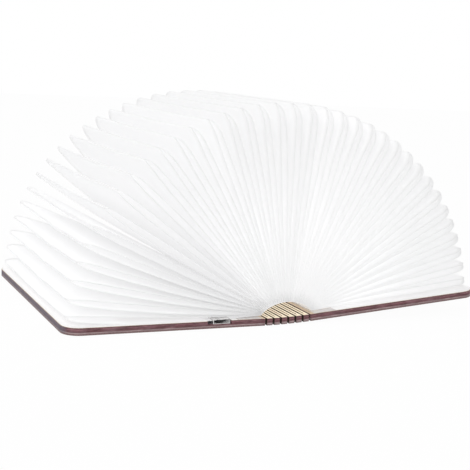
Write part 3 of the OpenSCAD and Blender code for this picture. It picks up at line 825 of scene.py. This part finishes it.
def lamp_face(name, j):
    """Phosphor on the upper face, with a pale housing round it."""
    made, tree, shader = new_material(name, Roughness=0.3, Coat_Weight=0.3, Coat_Roughness=0.12,
                                      Emission_Strength=4.0)
    flat = board_view(tree, j)
    top = face_at(tree, coordinate(tree, flat, "Z"), BOARD + STRIP + LED_H)
    grain = speckle(tree, flat, 3800.0, 3.0)
    gel = mixed(tree, ramp(tree, grain, 0.3, 0.75), (0.93, 0.80, 0.34), (0.88, 0.70, 0.22))
    case = mixed(tree, ramp(tree, grain, 0.3, 0.75), (0.86, 0.85, 0.82), (0.78, 0.77, 0.74))
    tree.links.new(mixed(tree, top, case, gel), shader.inputs["Base Color"])
    tree.links.new(mixed(tree, top, BLACK, (1.0, 0.86, 0.62)), shader.inputs["Emission Color"])
    bumped(tree, shader, grain, 0.3, 2e-5)
    return made


finish_node("leds_left", lamp_face("phosphor_left", 0))
finish_node("leds_right", lamp_face("phosphor_right", 7))


# ---- The cell and its leads
# A flat lithium cell in crimped aluminium foil lies in the left cover's pocket. Two thin
# insulated leads, red and black, run from it to the circuit board.

def cell_skin():
    """Crushed foil, with an amber tape along the end with the leads."""
    made, tree, shader = new_material("cell_foil_skin", Metallic=0.85, Specular_IOR_Level=0.5)
    where = own_place(tree)
    crush = speckle(tree, where, 260.0, 6.0, 0.6, 0.4)
    tape_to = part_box("battery")[0][1] + 0.006
    taped = ramp(tree, coordinate(tree, where, "Y"), tape_to, tape_to + 0.0002, 1.0, 0.0)
    foil = mixed(tree, ramp(tree, crush, 0.3, 0.7), (0.78, 0.79, 0.80), (0.62, 0.63, 0.65))
    painted(tree, shader, mixed(tree, taped, foil, (0.62, 0.34, 0.07)),
            ramp(tree, crush, 0.3, 0.7, 0.26, 0.45))
    bumped(tree, shader, crush, 0.5, 8e-5)
    return made


def lead_skin():
    """Red insulation on the left lead and black on the right one."""
    made, tree, shader = new_material("lead_skin", Specular_IOR_Level=0.45)
    where = own_place(tree)
    low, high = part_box("battery_leads")
    grain = speckle(tree, where, 1800.0, 3.0)
    red = mixed(tree, grain, (0.50, 0.03, 0.025), (0.40, 0.02, 0.02))
    black = mixed(tree, grain, (0.02, 0.02, 0.022), (0.035, 0.035, 0.036))
    middle = (low[0] + high[0]) / 2
    right = ramp(tree, coordinate(tree, where, "X"), middle - 1e-5, middle + 1e-5)
    painted(tree, shader, mixed(tree, right, red, black), ramp(tree, grain, 0.2, 0.8, 0.4, 0.55))
    bumped(tree, shader, grain, 0.2, 1e-5)
    return made


finish_node("battery", cell_skin())
finish_node("battery_leads", lead_skin())


# ---- The circuit board
# A small dark glass-fibre board sits under the charging socket, with copper tracks under
# its solder mask and a handful of moulded black chips and tinned parts.

def board_mask():
    made, tree, shader = new_material("solder_mask", Specular_IOR_Level=0.5, Coat_Weight=0.3,
                                      Coat_Roughness=0.2)
    where = own_place(tree)
    tracks = place_node(tree, "ShaderNodeTexBrick", {
        "Vector": where, "Scale": 320.0, "Mortar Size": 0.03, "Color1": (0.03, 0.03, 0.045, 1),
        "Color2": (0.035, 0.033, 0.05, 1), "Mortar": (0.09, 0.085, 0.12, 1)})
    grain = speckle(tree, where, 1500.0, 4.0)
    mask = mixed(tree, ramp(tree, grain, 0.4, 0.8, 0.0, 0.35), tracks.outputs[0], (0.06, 0.055, 0.075))
    painted(tree, shader, mask, ramp(tree, grain, 0.2, 0.8, 0.3, 0.42))
    bumped(tree, shader, tracks.outputs[1], 0.4, 2e-5)
    return made


def chip_case():
    made, tree, shader = new_material("chip_case", Specular_IOR_Level=0.4)
    grain = speckle(tree, own_place(tree), 5200.0, 4.0, 0.7)
    painted(tree, shader, mixed(tree, grain, (0.02, 0.02, 0.022), (0.05, 0.05, 0.053)),
            ramp(tree, grain, 0.2, 0.8, 0.5, 0.68))
    bumped(tree, shader, grain, 0.4, 1.5e-5)
    return made


finish_node("circuit_board", board_mask())
finish_node("board_parts", chip_case())


# ---- The charging socket
# A folded tinned steel shell stands in a notch in the left cover's front edge, on the
# circuit board, with a black moulded tongue inside that carries the contacts.

def shell_tin():
    made, tree, shader = new_material("shell_tin")
    where = own_place(tree)
    drawn = speckle(tree, stretched(tree, where, (1, 0.12, 1)), 2600.0, 3.0)
    dull = speckle(tree, where, 520.0, 4.0)
    painted(tree, shader, mixed(tree, ramp(tree, dull, 0.4, 0.6), (0.97, 0.965, 0.955), (0.7, 0.69, 0.69)),
            ramp(tree, reckon(tree, "ADD", drawn, dull), 0.6, 1.4, 0.34, 0.52))
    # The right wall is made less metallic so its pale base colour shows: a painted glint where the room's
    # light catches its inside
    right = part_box("usb_shell")[1][0]
    metal = ramp(tree, coordinate(tree, where, "X"), right - 0.0034, right - 0.0014, 1.0, 0.1)
    tree.links.new(metal, shader.inputs["Metallic"])
    bumped(tree, shader, drawn, 0.3, 1.5e-5)
    return made


def tongue_moulding():
    """Black moulding with brass contacts along its upper face."""
    made, tree, shader = new_material("tongue_moulding", Specular_IOR_Level=0.4)
    where = own_place(tree)
    beat = reckon(tree, "PINGPONG", reckon(tree, "ADD", coordinate(tree, where, "X"), 0.1), 0.000325)
    contacts = ramp(tree, beat, 0.0001, 0.00013, 1.0, 0.0)
    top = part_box("usb_tongue")[1][2]
    brass = reckon(tree, "MULTIPLY", contacts, face_at(tree, coordinate(tree, where, "Z"), top))
    grain = speckle(tree, where, 4200.0, 3.0)
    black = mixed(tree, grain, (0.02, 0.02, 0.021), (0.04, 0.04, 0.042))
    painted(tree, shader, mixed(tree, brass, black, (0.78, 0.57, 0.26)),
            ramp(tree, grain, 0.2, 0.8, 0.4, 0.55))
    tree.links.new(brass, shader.inputs["Metallic"])
    return made


finish_node("usb_shell", shell_tin())
finish_node("usb_tongue", tongue_moulding())


# ---- The magnets
# Nickel plated discs are pressed into the fore corners of both covers and hidden by the
# end leaves. They hold the lamp shut, and open when it is folded right round.

def nickel_plate():
    made, tree, shader = new_material("nickel_plate", Metallic=1.0)
    dull = speckle(tree, own_place(tree), 900.0, 5.0)
    painted(tree, shader, mixed(tree, ramp(tree, dull, 0.35, 0.75), (0.72, 0.71, 0.68), (0.58, 0.57, 0.55)),
            ramp(tree, dull, 0.3, 0.8, 0.12, 0.3))
    bumped(tree, shader, dull, 0.2, 1e-5)
    return made


nickel = nickel_plate()
finish_node("magnets_left", nickel)
finish_node("magnets_right", nickel)
